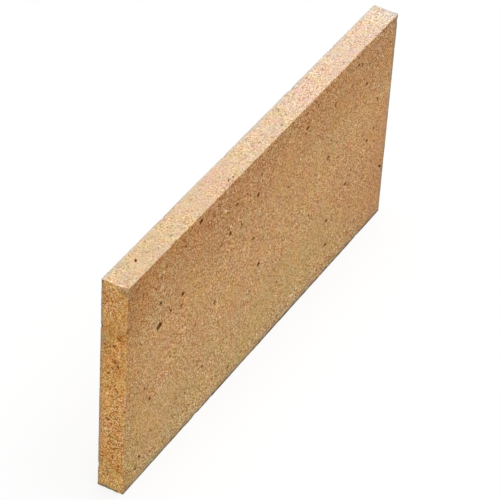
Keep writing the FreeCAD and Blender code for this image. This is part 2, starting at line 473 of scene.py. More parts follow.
NEAR_END_PITS = marks_on(
    Side.NEAR_END,
    (7.4, 56.5, 4.2, 2.6, 30, 0.45), (13.4, 54.5, 3.0, 1.8, 0, 0.1), (11.9, 65.9, 3.0, 3.0, 0, 0.5),
    (17.4, 63.6, 1.9, 2.4, 0, 0.1), (20.4, 67.4, 2.2, 2.6, 20, 0.2), (15.7, 68.3, 2.6, 1.9, 0, 0.25),
    (10.4, 82.2, 2.4, 3.4, -20, 0.3), (7.6, 86.3, 2.6, 2.4, 0, 0.4), (12.9, 90.2, 3.4, 1.9, 20, 0.1),
    (16.9, 97.1, 3.8, 2.2, -15, 0.4), (9.4, 111.6, 2.0, 2.6, 0, 0.35), (8.3, 114.5, 1.9, 1.9, 0, 0.2),
    (16.4, 148.3, 4.6, 2.0, 5, 0.5), (8, 155.5, 3.0, 2.0, 30, 0.2), (4.9, 156, 1.9, 2.8, 20, 0.2),
    (13.9, 166.6, 2.2, 2.4, 0, 0.2), (21.9, 165.6, 1.9, 2.6, 0, 0.15), (1.9, 171.7, 3.0, 2.2, 0, 0.25),
    (10.2, 179.8, 1.9, 3.0, 30, 0.35), (10.9, 190, 2.0, 2.8, 30, 0.45), (5, 196.3, 2.0, 1.8, 0, 0.25),
    (15, 208.6, 4.6, 4.0, 0, 0.02), (19.4, 213.6, 2.0, 2.4, 30, 0.3), (21, 217.3, 2.0, 2.6, -20, 0.35),
    (11.9, 23.8, 2.6, 1.9, -30, 0.2), (14.9, 19, 2.0, 2.0, 0, 0.1), (19.6, 22, 2.4, 1.8, -20, 0.1),
    (13.9, 6, 1.9, 3.0, 10, 0.15), (2.8, 4.4, 1.8, 1.8, 0, 0.4), (1.6, 7.6, 1.6, 2.2, 0, 0.3),
    (5.8, 3.2, 1.8, 1.5, 20, 0.35), (9.0, 4.0, 1.6, 1.6, 0, 0.2), (23.6, 2.2, 1.8, 2.4, 0, 0.4),
    (23.9, 49.0, 2.0, 4.6, 0, 0.8),
)

PALE_GRAINS = (
    *marks_on(
        Side.FRONT,
        (94.5, 108, 1.8, 5.6, 35), (65, 139, 1.9, 4.6, 35), (123, 92, 2.4, 2.0), (66, 174.5, 4.2, 1.9, -25),
        (151, 165, 1.9, 5.0, -15), (135, 201, 2.6, 2.4), (154, 23.5, 2.2, 5.6, 35), (322, 96, 3.2, 3.8, 0),
        (389.5, 81.5, 5.6, 1.9, -20), (98, 220, 4.0, 1.9, -25), (55.5, 20.5, 1.8, 3.4, 30),
        (302, 23, 1.8, 3.8, 30), (285, 53.5, 1.8, 4.4, 30), (411, 124, 1.9, 4.0, 35),
        (420.5, 54, 1.8, 3.4, 25), (293, 206, 2.6, 2.4), (335, 203, 3.0, 2.0), (386, 203.5, 1.8, 4.4, 40),
        (101, 192, 1.9, 5.4, 30), (165, 47, 1.8, 4.0, 20),
    ),
    Mark(Side.TOP, 296.5, 21.5, 1.6, 5.0, 15),
    Mark(Side.NEAR_END, 6.9, 16.3, 3.4, 1.7, -30),
)

# How many small pits are scattered over each side that the photo hides
HIDDEN_PITS = {Side.BACK: 120, Side.BOTTOM: 18, Side.FAR_END: 20}

# The chips that the photo shows on the arrises
KNOWN_ARRIS_CHIPS = (
    ArrisChip(0, 1, 1, 0.667, 3.2, 1.8),
    ArrisChip(2, -1, 1, 0.78, 3.0, 1.3),
    ArrisChip(2, -1, 1, 0.10, 3.0, 1.6),
    ArrisChip(2, -1, -1, 0.80, 2.4, 1.5),
    ArrisChip(0, -1, 1, 0.374, 2.0, 2.2),
    ArrisChip(0, -1, 1, 0.59, 2.2, 1.6),
    ArrisChip(1, -1, -1, 0.42, 1.7, 2.4),
    ArrisChip(1, -1, -1, 0.70, 1.4, 2.0),
    ArrisChip(1, -1, -1, 0.07, 2.4, 2.2),
)

# Small chips: the axis, how many are on each of its arrises, and how much larger the largest may be
SMALL_CHIPS = ((0, 26, 2.0), (1, 1, 0.8), (2, 10, 1.4))
LEAST_CHIP_MM = 0.8
CHIP_SHARES = (0.01, 0.99)
CHIP_STRETCHES = (1.0, 2.4)

# Random pits: the least size and how much larger the largest may be, how near an arris they come,
# how wide they are for their length, and their depth as a least one and a share of their size
LEAST_PIT_MM = 1.5
PIT_GROWTH_MM = 2.6
PIT_MARGIN_MM = 2.0
PIT_WIDTHS = (0.6, 1.1)
LEAST_PIT_DEPTH_MM = 0.2
PIT_DEPTH_SHARES = (0.12, 0.32)

# The higher this power, the rarer are the larger ones of the random pits and chips
RARITY = 3

# The two fractal noises of the relief: the weight of the finer layers, their step and their number
WANDER_LAYERS = (0.7, 2.1, 4)
GRAIN_LAYERS = (0.6, 2.2, 3)

# Grey film: a painted contact shadow along the bottom arrises, painted shade on the far upright arris of
# the front, and a grey film elsewhere
FILM_AND_SHADE_PLACES = (
    ArrisFilmAndShade(Side.FRONT, Side.BOTTOM, 11.0, 0.58),
    ArrisFilmAndShade(Side.BACK, Side.BOTTOM, 9.0, 0.55),
    ArrisFilmAndShade(Side.NEAR_END, Side.BOTTOM, 7.0, 0.58),
    ArrisFilmAndShade(Side.FAR_END, Side.BOTTOM, 7.0, 0.58),
    ArrisFilmAndShade(Side.FRONT, Side.FAR_END, 7.0, 0.74),
    ArrisFilmAndShade(Side.BACK, Side.FAR_END, 6.0, 0.5),
    ArrisFilmAndShade(Side.BACK, Side.NEAR_END, 5.0, 0.55),
    ArrisFilmAndShade(Side.BACK, Side.TOP, 4.5, 0.5),
    ArrisFilmAndShade(Side.FAR_END, Side.TOP, 6.0, 0.5),
    GreyPatch(Side.FRONT, 5.0, 5.0, 11.0, 0.36),
    GreyPatch(Side.NEAR_END, 3.0, 3.0, 8.0, 0.3),
    GreyPatch(Side.NEAR_END, 23.0, 61.0, 7.0, 0.4),
    GreyPatch(Side.FRONT, 452.0, 6.0, 9.0, 0.3),
)


@dataclass
class ReliefGrid:
    """Cuts a plain slab into a fine even grid that is finer near its arrises."""

    arris_band: float = 1.6 * MM
    arris_step: float = 0.4 * MM
    rim_band: float = 6.0 * MM
    rim_step: float = 1.15 * MM
    middle_step: float = 2.3 * MM
    longest_strip: float = 1.8 * MM

    def cut(self, mesh: bmesh.types.BMesh, half: Vector) -> None:
        """Cuts the bands beside the arrises and then divides every band evenly.

        Args:
            mesh: The slab, centred on the origin.
            half: Half of the slab's length, thickness and height.
        """
        for axis, inset, sign in product(range(3), (self.rim_band, self.arris_band), (-1, 1)):
            normal = Vector([float(axis == other) for other in range(3)])
            everything = [*mesh.verts, *mesh.edges, *mesh.faces]
            place = normal * sign * (half[axis] - inset)
            bmesh.ops.bisect_plane(mesh, geom=everything, plane_co=place, plane_no=normal)
        for axis in range(3):
            self.divide(mesh, half, axis)

    def divide(self, mesh: bmesh.types.BMesh, half: Vector, axis: int) -> None:
        """Divides every edge along one axis by its band's own step.

        Args:
            mesh: The slab.
            half: Half of its sizes.
            axis: The axis along which edges are divided.
        """
        groups: dict[int, list[bmesh.types.BMEdge]] = {}
        for edge in mesh.edges:
            span = edge.verts[1].co - edge.verts[0].co
            length = abs(span[axis])
            if length < span.length / 2:
                continue
            inset = half[axis] - abs((edge.verts[0].co[axis] + edge.verts[1].co[axis]) / 2)
            step = self.middle_step
            if inset < self.rim_band:
                step = self.rim_step
            if inset < self.arris_band:
                step = self.arris_step
            cuts = round(length / step) - 1
            if cuts > 0:
                groups.setdefault(cuts, []).append(edge)
        for cuts, edges in groups.items():
            bmesh.ops.subdivide_edges(mesh, edges=edges, cuts=cuts, use_grid_fill=True)

    def divide_strips(self, mesh: bmesh.types.BMesh, half: Vector) -> None:
        """Divides the long edges of the narrow strips beside the arrises.

        Args:
            mesh: The cut slab.
            half: Half of its sizes.
        """
        strips = []
        for edge in mesh.edges:
            middle = (edge.verts[0].co + edge.verts[1].co) / 2
            inset = sorted(half[axis] - abs(middle[axis]) for axis in range(3))
            if inset[1] < self.arris_band and edge.calc_length() > self.longest_strip:
                strips.append(edge)
        bmesh.ops.subdivide_edges(mesh, edges=strips, cuts=1, use_grid_fill=True)


@dataclass
class Relief:
    """Works out how far each point of the skin lies inside the flat slab.

    The arrises are worn to a radius that wanders along them. Slow waves and a fine grain lie all
    over the skin, and the pits and chips go deeper.
    """

    half: Vector
    seed: int

    # The upright arrises, then the others, and over what distance they blend at the corners
    end_radius: float = 1.1 * MM
    long_radius: float = 0.75 * MM
    corner_blend: float = 1.2 * MM

    # How the radius wanders, the least share of it that stays, and how soon an arris looks worn
    wander_size: float = 9 * MM
    long_swing: float = 0.6
    end_swing: float = 0.3
    least_share: float = 0.35
    worn_gain: float = 1.6

    # The waves and the grain all over the skin
    wave_size: float = 90 * MM
    wave_depth: float = 0.14 * MM
    grain_size: float = 7 * MM
    grain_depth: float = 0.09 * MM

    # How far round a mark, in metres, and round known damage, in square radii, the mesh is finer
    refined_margin: float = 0.6 * MM
    refined_reach: float = 1.4

    # How far past a mark's own reach its points are looked for
    mark_margin: float = 0.2 * MM

    def __post_init__(self) -> None:
        """Gathers the pits and the chips, and draws the random ones."""
        self.chance = Random(self.seed)
        self.pits = [*FRONT_PITS, *FRONT_SPOTS, *TOP_PITS, *NEAR_END_PITS, *self.scattered_pits()]
        self.known_damage = [damage.shape(self.half) for damage in (CornerChip(), FaceSpall())]
        self.chips = self.known_damage + [chip.shape(self.half) for chip in self.arris_chips()]

    def scattered_pits(self) -> list[Mark]:
        """Scatters small pits over the three sides that the photo hides.

        Returns:
            The pits, each at a random place of its side.
        """
        pits = []
        for side, count in HIDDEN_PITS.items():
            along_axis, down_axis = side.across
            for _ in range(count):
                size_mm = LEAST_PIT_MM + PIT_GROWTH_MM * self.chance.random() ** RARITY
                pits.append(Mark(
                    side,
                    self.chance.uniform(PIT_MARGIN_MM, self.half[along_axis] * 2 / MM - PIT_MARGIN_MM),
                    self.chance.uniform(PIT_MARGIN_MM, self.half[down_axis] * 2 / MM - PIT_MARGIN_MM),
                    size_mm,
                    size_mm * self.chance.uniform(*PIT_WIDTHS),
                    self.chance.uniform(0, 180),
                    LEAST_PIT_DEPTH_MM + size_mm * self.chance.uniform(*PIT_DEPTH_SHARES),
                ))
        return pits

    def arris_chips(self) -> list[ArrisChip]:
        """Lists the chips that the photo shows and scatters small ones along all twelve arrises.

        Returns:
            The chips, most of them on the long arrises.
        """
        chips = list(KNOWN_ARRIS_CHIPS)
        for run_axis, count, growth_mm in SMALL_CHIPS:
            for first_sign, second_sign, _ in product((-1, 1), (-1, 1), range(count)):
                chips.append(ArrisChip(
                    run_axis,
                    first_sign,
                    second_sign,
                    self.chance.uniform(*CHIP_SHARES),
                    LEAST_CHIP_MM + growth_mm * self.chance.random() ** RARITY,
                    self.chance.uniform(*CHIP_STRETCHES),
                ))
        return chips

    def damaged(self, points: np.ndarray) -> set[int]:
        """Finds the points near a mark, the corner chip or the spall, where the mesh has to be finer.

        Args:
            points: Points on the flat slab about its centre, one row each.

        Returns:
            The rows of these points.
        """
        rows: set[int] = set()
        for mark in (*self.pits, *PALE_GRAINS):
            rows.update(mark.reached(points, self.half, self.refined_margin).tolist())
        for chip in self.known_damage:
            inside = (chip.scaled(points) ** 2).sum(axis=1) < self.refined_reach
            rows.update(np.nonzero(inside)[0].tolist())
        return rows

    def arris_radius(self, place: Vector, inset: Vector) -> float:
        """Gives the worn radius of the nearest arris, which wanders along its run.

        Args:
            place: A point on the flat slab, about its centre.
            inset: How far the point lies inside each pair of sides.

        Returns:
            The radius at that point.
        """
        upright = 1 / (1 + math.exp(-(inset.z - max(inset.x, inset.y)) / self.corner_blend))
        radius = self.long_radius + (self.end_radius - self.long_radius) * upright
        wander = noise.fractal(place / self.wander_size, *WANDER_LAYERS)
        swing = self.long_swing + (self.end_swing - self.long_swing) * upright
        return radius * max(self.least_share, 1 + swing * wander)

    def worn(self, place: Vector) -> tuple[Vector, Vector, float]:
        """Rounds one point of the flat slab to the worn arrises.

        Args:
            place: A point on the flat slab, about its centre.

        Returns:
            The point on the rounded slab, the outward normal there and how worn the point is.
        """
        inset = Vector([self.half[axis] - abs(place[axis]) for axis in range(3)])
        radius = self.arris_radius(place, inset)
        inner = Vector([
            max(-(self.half[axis] - radius), min(self.half[axis] - radius, place[axis]))
            for axis in range(3)
        ])
        outward = (place - inner).normalized()
        arris = sorted(abs(component) for component in outward)[1]
        return inner + outward * radius, outward, min(1.0, arris * self.worn_gain)

    def fine_depth(self, place: Vector) -> float:
        """Gives the depth of the slow waves and of the grain at a point.

        Args:
            place: A point on the flat slab, about its centre.

        Returns:
            The depth below the flat side, never less than nothing.
        """
        wave = 0.5 + 0.5 * noise.noise(place / self.wave_size)
        grain = 0.5 + 0.5 * noise.fractal(place / self.grain_size, *GRAIN_LAYERS)
        return self.wave_depth * wave + self.grain_depth * max(0.0, grain)

    def marked(self, points: np.ndarray) -> tuple[np.ndarray, dict[str, np.ndarray]]:
        """Works out the depth of the pits, and what the clay's colour needs of the marks.

        Args:
            points: Points on the flat slab about its centre, one row each.

        Returns:
            The depth at each point, and the fields of the pits, their darkness with its painted shade, and
            the grains.
        """
        depth, pit, tone, pale = (np.zeros(len(points)) for _ in range(4))
        for mark in self.pits:
            rows = mark.reached(points, self.half, self.mark_margin)
            field = mark.field(points[rows], self.half)
            depth[rows] = np.maximum(depth[rows], mark.bowl(points[rows], field))
            tone[rows] = np.where(field > pit[rows], mark.darkness, tone[rows])
            pit[rows] = np.maximum(pit[rows], field)
        for mark in PALE_GRAINS:
            rows = mark.reached(points, self.half, self.mark_margin)
            pale[rows] = np.maximum(pale[rows], mark.field(points[rows], self.half))
        return depth, {"pit": pit, "tone": tone, "pale": pale}

    def lay(self, points: np.ndarray) -> tuple[np.ndarray, dict[str, np.ndarray]]:
        """Moves the points of the flat slab onto the worn, pitted and chipped skin.

        Args:
            points: Points on the flat slab about its centre, one row each.

        Returns:
            The moved points, and the fields that the clay's colour reads.
        """
        depth, fields = self.marked(points)
        moved = np.zeros_like(points)
        worn = np.zeros(len(points))
        for row, point in enumerate(points):
            place = Vector(point)
            rounded, outward, worn[row] = self.worn(place)
            moved[row] = rounded - outward * (depth[row] + self.fine_depth(place))
        skin = np.zeros(len(points))
        for chip in self.chips:
            rows = chip.strike(moved)
            if chip.skin:
                skin[rows] = chip.skin
        film = np.zeros(len(points))
        for stain in FILM_AND_SHADE_PLACES:
            film = np.maximum(film, stain.film(points, self.half))
        return moved, {**fields, "worn": worn, "skin": skin, "film_and_shade": np.clip(film, 0, 1)}


def link_mesh(mesh: bmesh.types.BMesh, name: str) -> bpy.types.Object:
    """Turns a finished bmesh into an object of the scene, and frees the bmesh.

    Args:
        mesh: The bmesh.
        name: The object's name.

    Returns:
        The object.
    """
    data = bpy.data.meshes.new(name)
    mesh.to_mesh(data)
    mesh.free()
    piece = bpy.data.objects.new(name, data)
    bpy.context.scene.collection.objects.link(piece)
    return piece


@dataclass
class FirebrickTile:
    """The one piece of the object: a worn, chipped and pitted slab of fired fireclay.

    It fills the solid's box, which the frame gives as its lowest and its highest corner.
    """

    low: Vector
    high: Vector
    seed: int = 41

    def __post_init__(self) -> None:
        """Works out the slab's centre and half sizes, and prepares its grid and relief."""
        self.centre = (self.low + self.high) / 2
        self.half = (self.high - self.low) / 2
        self.grid = ReliefGrid()
        self.relief = Relief(self.half, self.seed)

    def build(self) -> bpy.types.Object:
        """Makes the slab's mesh, refines it, lays the relief on it and links it to the scene.

        Returns:
            The finished object.
        """
        mesh = bmesh.new()
        bmesh.ops.create_cube(mesh, size=2.0)
        bmesh.ops.scale(mesh, vec=self.half, verts=mesh.verts)
        self.grid.cut(mesh, self.half)
        self.grid.divide_strips(mesh, self.half)
        self.refine(mesh)
        self.lay_relief(mesh)
        bmesh.ops.translate(mesh, vec=self.centre, verts=mesh.verts)
        wide_faces = [face for face in mesh.faces if len(face.verts) > 4]
        bmesh.ops.triangulate(mesh, faces=wide_faces)
        for face in mesh.faces:
            face.smooth = True
        return link_mesh(mesh, "fired_brick")

    def refine(self, mesh: bmesh.types.BMesh) -> None:
        """Divides the edges of the faces round each mark once more.

        Args:
            mesh: The cut slab.
        """
        faces = list(mesh.faces)
        middles = np.array([face.calc_center_median() for face in faces])
        edges = {edge for row in sorted(self.relief.damaged(middles)) for edge in faces[row].edges}
        ordered = sorted(edges, key=lambda edge: edge.index)
        bmesh.ops.subdivide_edges(mesh, edges=ordered, cuts=2, use_grid_fill=True)

    def lay_relief(self, mesh: bmesh.types.BMesh) -> None:
        """Moves every point inwards by the relief, and keeps what the clay's colour needs.

        Args:
            mesh: The refined slab.
        """
        moved, fields = self.relief.lay(np.array([vert.co for vert in mesh.verts]))
        for name, values in fields.items():
            layer = mesh.verts.layers.float.new(name)
            for row, vert in enumerate(mesh.verts):
                vert[layer] = values[row]
        for row, vert in enumerate(mesh.verts):
            vert.co = moved[row]


@dataclass(frozen=True)
class Fade:
    """A smooth change from a start value to an end value, while another goes from low to high."""

    low: float
    high: float
    start: float = 0.0
    end: float = 1.0


@dataclass(frozen=True)
class Mottle:
    """Soft patches: a noise whose lumps have about one size, put through a fade."""

    size: float
    detail: float = 3.0
    roughness: float = 0.5
    fade: Fade = Fade(0.32, 0.68)


# A smooth noise has few layers, and a fine one more and stronger layers
SMOOTH_DETAIL = 2.0
FINE_DETAIL = 3.0
FINE_ROUGHNESS = 0.6

# A Mix node has sockets for every kind of data, so those of its colours are told by number
MIX_SHARE = 0
MIX_FIRST = 6
MIX_SECOND = 7
MIX_RESULT = 2


class NodeSheet:
    """Adds shader nodes to a node tree in the order that they are asked for."""

    def __init__(self, tree: bpy.types.NodeTree) -> None:
        """Empties the tree.

        Args:
            tree: The node tree of a material or of the world.
        """
        self.tree = tree
        self.tree.nodes.clear()

    def add(self, kind: str, inputs: dict[str | int, Given], **settings: object) -> bpy.types.Node:
        """Adds one node, sets its properties and gives its inputs their links or values.

        Args:
            kind: The node's type name.
            inputs: For an input's name or number, an output to link or the input's own value.
            **settings: Properties of the node.

        Returns:
            The node.
        """
        node = self.tree.nodes.new(kind)
        for name, value in settings.items():
            setattr(node, name, value)
        for name, value in inputs.items():
            if isinstance(value, Socket):
                self.tree.links.new(value, node.inputs[name])
            else:
                node.inputs[name].default_value = value
        return node

    def math(self, operation: str, first: Given, second: Given = 0.0, clamp: bool = False) -> Socket:
        """Adds a Math node.

        Args:
            operation: The node's operation.
            first: Its first input.
            second: Its second input.
            clamp: Whether the result stays from 0 to 1.

        Returns:
            The result.
        """
        node = self.add("ShaderNodeMath", {0: first, 1: second}, operation=operation, use_clamp=clamp)
        return node.outputs[0]

    def plus(self, first: Given, second: Given) -> Socket:
        """Adds two values."""
        return self.math("ADD", first, second)

    def minus(self, first: Given, second: Given) -> Socket:
        """Takes the second value from the first."""
        return self.math("SUBTRACT", first, second)

    def times(self, first: Given, second: Given) -> Socket:
        """Multiplies two values."""
        return self.math("MULTIPLY", first, second)

    def vector(self, operation: str, *values: Given) -> Socket:
        """Adds a Vector Math node whose result is a vector."""
        return self.add("ShaderNodeVectorMath", dict(enumerate(values)), operation=operation).outputs[0]

    def span(self, value: Given, fade: Fade, unit: float = 1.0, offset: float = 0.0) -> Socket:
        """Puts a value through a fade.

        Args:
            value: The value.
            fade: The fade.
            unit: What the fade's low and high are measured in.
            offset: Where they are measured from.

        Returns:
            The mapped value.
        """
        low = offset + fade.low * unit
        high = offset + fade.high * unit
        inputs = {
            "Value": value,
            "From Min": low,
            "From Max": high,
            "To Min": fade.start,
            "To Max": fade.end,
        }
        node = self.add("ShaderNodeMapRange", inputs, interpolation_type="SMOOTHSTEP")
        return node.outputs["Result"]

    def blend(self, share: Given, first: Given, second: Given, kind: str = "MIX") -> Socket:
        """Mixes two colours.

        Args:
            share: How much of the second colour shows.
            first: The first colour.
            second: The second colour.
            kind: The way of mixing.

        Returns:
            The mixed colour.
        """
        inputs = {MIX_SHARE: share, MIX_FIRST: first, MIX_SECOND: second}
        node = self.add("ShaderNodeMix", inputs, data_type="RGBA", blend_type=kind, clamp_factor=True)
        return node.outputs[MIX_RESULT]

    def tint(self, share: Given, colour: Given, tint: Given) -> Socket:
        """Multiplies a share of a colour by a tint."""
        return self.blend(share, colour, tint, "MULTIPLY")


@dataclass(frozen=True)
class FiredClay:
    """The finish of the fired fireclay: tan clay with a flashed upper part, darkened further by painted
    shade, and pale narrow sides that carry a painted highlight.
    """

    # Down the big faces: darker and redder at the top, partly kiln flashing and partly painted shade, and
    # paler near the foot, a painted bounce light
    flash_and_shade: Colour = srgb(198, 146, 94)
    middle: Colour = srgb(211, 163, 109)
    low: Colour = srgb(207, 168, 113)
    end_orange: Colour = srgb(213, 159, 93)
    # The narrow sides: a paler skin carrying a painted highlight, paler still towards the far end as
    # painted light, and a painted catch light along the near end's arris
    narrow_near: Colour = srgb(217, 185, 148)
    narrow_far: Colour = srgb(221, 192, 167)
    narrow_tip: Colour = srgb(224, 201, 181)
    narrow_brink_highlight: Colour = srgb(240, 210, 168)
    pink_tint: Colour = (1.05, 0.95, 0.98, 1)
    olive_tint: Colour = (0.96, 1.035, 0.98, 1)
    yellow_tint: Colour = (1.03, 1.02, 0.88, 1)
    ashen_tint: Colour = (0.955, 0.965, 1.07, 1)
    near_tint: Colour = (0.912, 0.89, 0.785, 1)
    near_top_tint: Colour = (0.965, 0.915, 0.82, 1)
    far_low_tint: Colour = (0.965, 0.80, 0.81, 1)
    end_foot_tint: Colour = (1.07, 1.17, 1.18, 1)
    end_head_tint: Colour = (0.955, 1.12, 1.28, 1)
    end_blotch: Colour = (0.84, 0.76, 0.67, 1)
    grain_lean: Colour = (0.79, 1.06, 1.175, 1)
    narrow_lean: Colour = (0.88, 1.0, 1.03, 1)
    grog: Colour = srgb(246, 222, 184)
    spot: Colour = srgb(128, 78, 28)
    # The dark brown of the pits; their darkness, which grows with depth, is partly painted shade
    pit_floor: Colour = srgb(108, 60, 5)
    # Paler arrises: partly rubbed wear and partly a painted catch light on their rounding
    rubbed_and_highlight: Colour = srgb(226, 188, 142)
    fresh: Colour = srgb(206, 168, 126)
    # The painted shade in the spall's hollow
    spall_shade: Colour = srgb(132, 124, 106)
    # The grey film's colour, and its bluer colour on the narrow sides; along the foot and the far upright
    # arris of the front it stands for painted shade
    film: Colour = srgb(152, 141, 118)
    haze: Colour = srgb(190, 195, 194)
    # Nearly black: soot and painted shade along the arrises, and the painted contact shadow along the foot
    shade_and_soot: Colour = srgb(50, 34, 20)

    # Where the arrises give way to the narrow sides and to the ends, from these sides' own planes
    narrow_side: Fade = Fade(-0.8 * MM, -0.25 * MM)
    end_side: Fade = Fade(-1.0 * MM, -0.4 * MM)

    # The levels of the big faces, as shares of the height, and how much they drift up and down
    drift_size: float = 48 * MM
    drift_swing: float = 70 * MM
    middle_heights: Fade = Fade(0.12, 0.55)
    flash_and_shade_heights: Fade = Fade(0.58, 1.0)
    near_top_heights: Fade = Fade(0.72, 0.95)
    far_low_heights: Fade = Fade(0.3, 0.62, 1.0, 0.0)

    # Runs from the near end, then one from the middle of the length and one from the far end
    near_run: Fade = Fade(0.0, 45 * MM, 1.0, 0.0)
    near_top_run: Fade = Fade(90 * MM, 190 * MM, 1.0, 0.0)
    brink_highlight_run: Fade = Fade(0.5 * MM, 4 * MM, 0.9, 0.0)
    far_low_start: float = 60 * MM
    tip_run: Fade = Fade(-34 * MM, -8 * MM)

    # Heights on the ends, from the foot and from the head
    end_foot: Fade = Fade(12 * MM, 32 * MM, 1.0, 0.0)
    end_head: Fade = Fade(-13 * MM, -4 * MM)

    # How strongly the grains stand out, in patches and over shares of the height
    coarse_patches: Mottle = Mottle(42 * MM, 2.0, fade=Fade(0.32, 0.68, 0.72, 1.16))
    foot_coarseness: Fade = Fade(0.0, 0.18, 0.45, 0.0)
    head_coarseness: Fade = Fade(0.75, 1.0, 0.0, 0.2)
    end_fineness: float = 0.07
    narrow_fineness: float = 0.52

    # Patches of tint
    tint_share: float = 0.62
    end_tint_share: float = 0.2
    brown_patches: Mottle = Mottle(14 * MM, 3.0, 0.6, Fade(0.46, 0.68))

    # The outlines, sizes and lightness of the grains and of the gaps between coarser ones
    loose_size: float = 1.8 * MM
    loose_swing: float = 2.4 * MM
    grain_size: float = 0.9 * MM
    grain_swing: float = 0.21
    grain_evenness: float = 0.2
    gap_size: float = 1.35 * MM
    gap_swing: float = 0.42
    gap_middle: float = 0.54
    eye_gamma: float = 2.4

    # Grog and iron specks: their cores, their sizes with how strongly they show, how rare they are,
    # and where the iron spots are less rare
    speck_core: Fade = Fade(0.16, 0.32, 1.0, 0.0)
    specks: tuple[tuple[float, float], ...] = ((5.0 * MM, 0.4), (2.7 * MM, 0.5))
    grog_limit: float = 0.92
    spot_limit: float = 0.93
    head_spots: Fade = Fade(0.7, 1.0, 0.0, 0.13)
    foot_spots: Fade = Fade(0.0, 0.2, 0.12, 0.0)
    far_spots: float = 0.04

    # The rims of the marks, over their fields, and how strongly the marks show
    rim_size: float = 1.7 * MM
    field_rim: Fade = Fade(0.0, 0.3)
    grain_rim: Fade = Fade(0.2, 0.5)
    pit_rim: Fade = Fade(0.16, 0.5)
    rubbed_highlight_share: float = 0.15
    grain_paleness: float = 0.68
    end_grain_loss: float = 0.28

    # Dirt and painted shade: the film, the part of the length where it is thin, the dark line along the
    # arrises, partly soot and partly painted shade, and the painted contact shadow along the foot
    uneven_film: Mottle = Mottle(6 * MM, 4.0, 0.7, Fade(0.32, 0.68, 0.35, 1.6))
    clean_run: Fade = Fade(0.0, 0.2, 0.55, 1.0)
    arris_dashes: Mottle = Mottle(9 * MM, 2.0, 0.5, Fade(0.42, 0.56, 0.45, 1.0))
    arris_shade_and_soot: Fade = Fade(1.2 * MM, 3.0 * MM, 3.0, 0.9)
    narrow_line_loss: float = 0.6
    foot_shadow_dashes: Mottle = Mottle(7 * MM, 4.0, 0.75, Fade(0.42, 0.58, 0.36, 1.0))
    end_foot_loss: float = 0.4
    foot_swing: float = 3.0 * MM
    foot_shadow_line: Fade = Fade(2.0 * MM, 3.1 * MM, 1.0, 0.0)

    # The surface and its fine grain
    roughness: float = 0.92
    specular: float = 0.12
    bump_height: float = 0.14 * MM
    bump_size: float = 1.8 * MM
    bump_cell: float = 1.6 * MM
    bump_cell_share: float = 0.35

    def dress(self, brick: bpy.types.Object, half: Vector, centre: Vector) -> None:
        """Makes the clay material and gives it to the brick.

        Args:
            brick: The finished mesh.
            half: Half of the brick's sizes.
            centre: The brick's centre.
        """
        material = bpy.data.materials.new(CLAY_SLOT)
        material.use_nodes = True
        sheet = ClaySheet(material.node_tree, self, half, centre)
        colour = sheet.speckled(sheet.grained(sheet.tinted(sheet.ground())))
        shader = sheet.add("ShaderNodeBsdfPrincipled", {
            "Base Color": sheet.marked(colour),
            "Roughness": self.roughness,
            "Specular IOR Level": self.specular,
            "Normal": sheet.grain_bump(),
        })
        sheet.add("ShaderNodeOutputMaterial", {"Surface": shader.outputs["BSDF"]})
        brick.data.materials.append(material)


